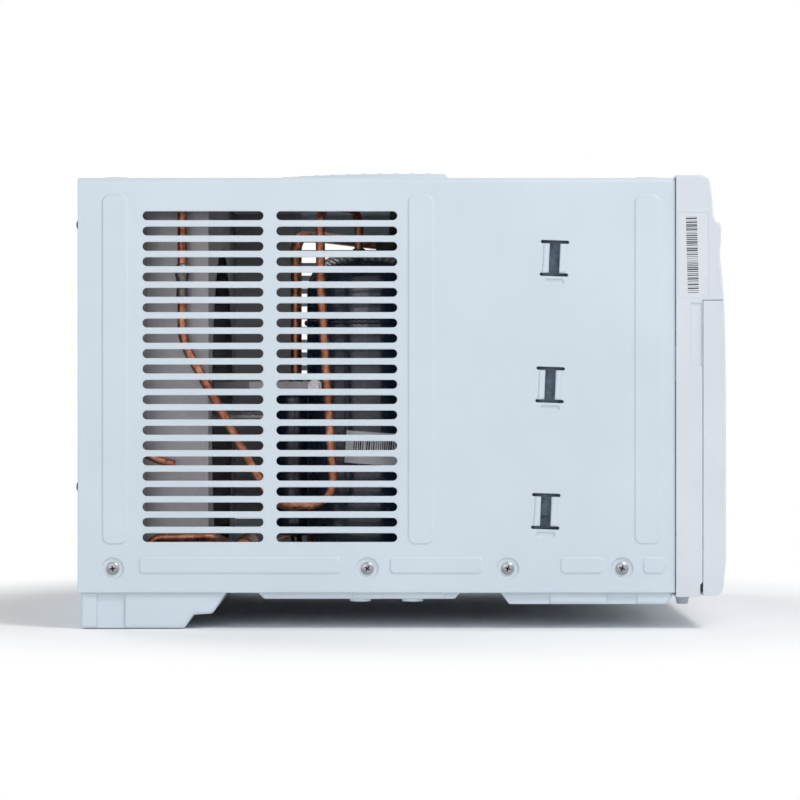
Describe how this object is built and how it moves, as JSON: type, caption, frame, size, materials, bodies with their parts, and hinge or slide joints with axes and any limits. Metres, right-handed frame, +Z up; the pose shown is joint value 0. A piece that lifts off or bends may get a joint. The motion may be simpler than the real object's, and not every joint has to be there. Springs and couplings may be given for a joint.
{
  "type": "window air conditioner",
  "caption": "Window air conditioner: slotted painted cabinet on a stepped base pan, plastic front with outlet vanes and a tilting intake door, fan, coils and compressor inside.",
  "frame": {"origin": "bottom centre of the overall box: on the plane of the rear sump's underside, midway between the sides and midway between the door's face and the rear screw heads", "axes": "+Z up, -Y towards the room (the front with the intake door), +Y outdoors, +X to the right seen from the room"},
  "size_m": [0.484, 0.5516, 0.3924],
  "materials": {
    "painted_steel": "powder coat, satin",
    "front_plastic": "fine moulded texture",
    "vane_plastic": "moulded",
    "duct_plastic": "moulded",
    "fascia_plastic": "gloss",
    "button_plastic": "moulded",
    "window": "smoked, clear",
    "board": "printed circuit board",
    "filter": "moulded frame and mesh",
    "foam": "moulded foam",
    "wheel_plastic": "moulded",
    "shaft_steel": "ground",
    "screw_steel": "nickel plated",
    "black_screw": "black oxide",
    "galvanised": "galvanised sheet",
    "fins": "thin sheet",
    "copper": "copper tube, slightly tarnished",
    "black_paint": "gloss black paint",
    "black_rubber": "matt",
    "gland_plastic": "moulded",
    "label_paper": "printed with plain stripes"
  },
  "bodies": {
    "cabinet": {"accumulator": "black_paint", "base_pan": "painted_steel", "blower_housing": "foam", "bulkhead": "galvanised", "cabinet_screws": "screw_steel", "cabinet_wrap": "painted_steel", "capillary_tube": "copper", "compressor": "black_paint", "compressor_grommets": "black_rubber", "compressor_label": "label_paper", "compressor_lead": "black_rubber", "compressor_nuts": "screw_steel", "compressor_stay": "galvanised", "condenser_fins": "fins", "condenser_plates": "galvanised", "condenser_tubes": "copper", "control_box": "galvanised", "control_fascia": "fascia_plastic", "cord_gland": "gland_plastic", "discharge_line": "copper", "display_board": "board", "display_window": "window", "drain_plug": "black_rubber", "drain_tray": "foam", "evaporator_fins": "fins", "evaporator_plates": "galvanised", "evaporator_tubes": "copper", "fan_motor": "black_paint", "fan_shroud": "galvanised", "front_frame": "front_plastic", "liquid_line": "copper", "motor_bracket": "galvanised", "outlet_duct": "duct_plastic", "rear_baffle": "galvanised", "rear_screws": "black_screw", "side_label": "label_paper", "stay_bolt": "screw_steel", "suction_line": "copper", "terminal_cover": "black_rubber"},
    "intake_door": {"intake_door": "front_plastic", "air_filter": "filter"},
    "fan_rotor": {"fan_shaft": "shaft_steel", "blower_wheel": "wheel_plastic", "condenser_fan": "wheel_plastic"},
    "vane_1": {"vane_1": "vane_plastic"},
    "vane_2": {"vane_2": "vane_plastic"},
    "vane_3": {"vane_3": "vane_plastic"},
    "vane_link": {"vane_link": "vane_plastic"},
    "deflector_1": {"deflector_1": "vane_plastic"},
    "deflector_2": {"deflector_2": "vane_plastic"},
    "deflector_3": {"deflector_3": "vane_plastic"},
    "deflector_4": {"deflector_4": "vane_plastic"},
    "deflector_link": {"deflector_link": "vane_plastic"},
    "vent_knob": {"vent_knob": "button_plastic"},
    "vent_flap": {"vent_flap": "duct_plastic"},
    "power_button": {"power_button": "button_plastic"},
    "mode_button": {"mode_button": "button_plastic"},
    "fan_button": {"fan_button": "button_plastic"},
    "warmer_button": {"warmer_button": "button_plastic"},
    "cooler_button": {"cooler_button": "button_plastic"}
  },
  "joints": [
    {"name": "door_tilt", "type": "hinge", "parent": "cabinet", "child": "intake_door", "pos_m": [0, -0.2588, 0.0322], "axis": [1, 0, 0], "range_deg": [0, 50]},
    {"name": "fan_spin", "type": "hinge", "parent": "cabinet", "child": "fan_rotor", "pos_m": [0.004, 0, 0.178], "axis": [0, 1, 0], "continuous": true},
    {"name": "vane_1_tilt", "type": "hinge", "parent": "cabinet", "child": "vane_1", "pos_m": [0, -0.259, 0.2984], "axis": [1, 0, 0], "range_deg": [-30, 30]},
    {"name": "vane_2_tilt", "type": "hinge", "parent": "cabinet", "child": "vane_2", "pos_m": [0, -0.259, 0.3139], "axis": [1, 0, 0], "range_deg": [-30, 30]},
    {"name": "vane_3_tilt", "type": "hinge", "parent": "cabinet", "child": "vane_3", "pos_m": [0, -0.259, 0.3294], "axis": [1, 0, 0], "range_deg": [-30, 30]},
    {"name": "vane_link_pivot", "type": "hinge", "parent": "vane_1", "child": "vane_link", "pos_m": [-0.212, -0.254, 0.2984], "axis": [1, 0, 0], "range_deg": [-30, 30]},
    {"name": "deflector_1_swing", "type": "hinge", "parent": "cabinet", "child": "deflector_1", "pos_m": [-0.17525, -0.2368, 0.3139], "axis": [0, 0, 1], "range_deg": [-35, 35]},
    {"name": "deflector_2_swing", "type": "hinge", "parent": "cabinet", "child": "deflector_2", "pos_m": [-0.09775, -0.2368, 0.3139], "axis": [0, 0, 1], "range_deg": [-35, 35]},
    {"name": "deflector_3_swing", "type": "hinge", "parent": "cabinet", "child": "deflector_3", "pos_m": [-0.02025, -0.2368, 0.3139], "axis": [0, 0, 1], "range_deg": [-35, 35]},
    {"name": "deflector_4_swing", "type": "hinge", "parent": "cabinet", "child": "deflector_4", "pos_m": [0.05725, -0.2368, 0.3139], "axis": [0, 0, 1], "range_deg": [-35, 35]},
    {"name": "deflector_link_pivot", "type": "hinge", "parent": "deflector_1", "child": "deflector_link", "pos_m": [-0.17525, -0.2278, 0.2954], "axis": [0, 0, 1], "range_deg": [-35, 35]},
    {"name": "vent_pull", "type": "slide", "parent": "cabinet", "child": "vent_knob", "axis": [0, -1, 0], "range_m": [0, 0.012]},
    {"name": "vent_flap_swing", "type": "hinge", "parent": "cabinet", "child": "vent_flap", "pos_m": [0.15, -0.07415, 0.3738], "axis": [-1, 0, 0], "range_deg": [0, 30]},
    {"name": "power_button_press", "type": "slide", "parent": "cabinet", "child": "power_button", "axis": [0, 1, 0], "range_m": [0, 0.0012], "stiffness_N_per_m": 800},
    {"name": "mode_button_press", "type": "slide", "parent": "cabinet", "child": "mode_button", "axis": [0, 1, 0], "range_m": [0, 0.0012], "stiffness_N_per_m": 800},
    {"name": "fan_button_press", "type": "slide", "parent": "cabinet", "child": "fan_button", "axis": [0, 1, 0], "range_m": [0, 0.0012], "stiffness_N_per_m": 800},
    {"name": "warmer_button_press", "type": "slide", "parent": "cabinet", "child": "warmer_button", "axis": [0, 1, 0], "range_m": [0, 0.0012], "stiffness_N_per_m": 800},
    {"name": "cooler_button_press", "type": "slide", "parent": "cabinet", "child": "cooler_button", "axis": [0, 1, 0], "range_m": [0, 0.0012], "stiffness_N_per_m": 800}
  ],
  "couplings": [
    {"joint": "vane_2_tilt", "follows": "vane_1_tilt", "ratio": 1},
    {"joint": "vane_3_tilt", "follows": "vane_1_tilt", "ratio": 1},
    {"joint": "vane_link_pivot", "follows": "vane_1_tilt", "ratio": -1},
    {"joint": "deflector_2_swing", "follows": "deflector_1_swing", "ratio": 1},
    {"joint": "deflector_3_swing", "follows": "deflector_1_swing", "ratio": 1},
    {"joint": "deflector_4_swing", "follows": "deflector_1_swing", "ratio": 1},
    {"joint": "deflector_link_pivot", "follows": "deflector_1_swing", "ratio": -1},
    {"joint": "vent_flap_swing", "follows": "vent_pull", "rad_per_m": 43.633}
  ]
}
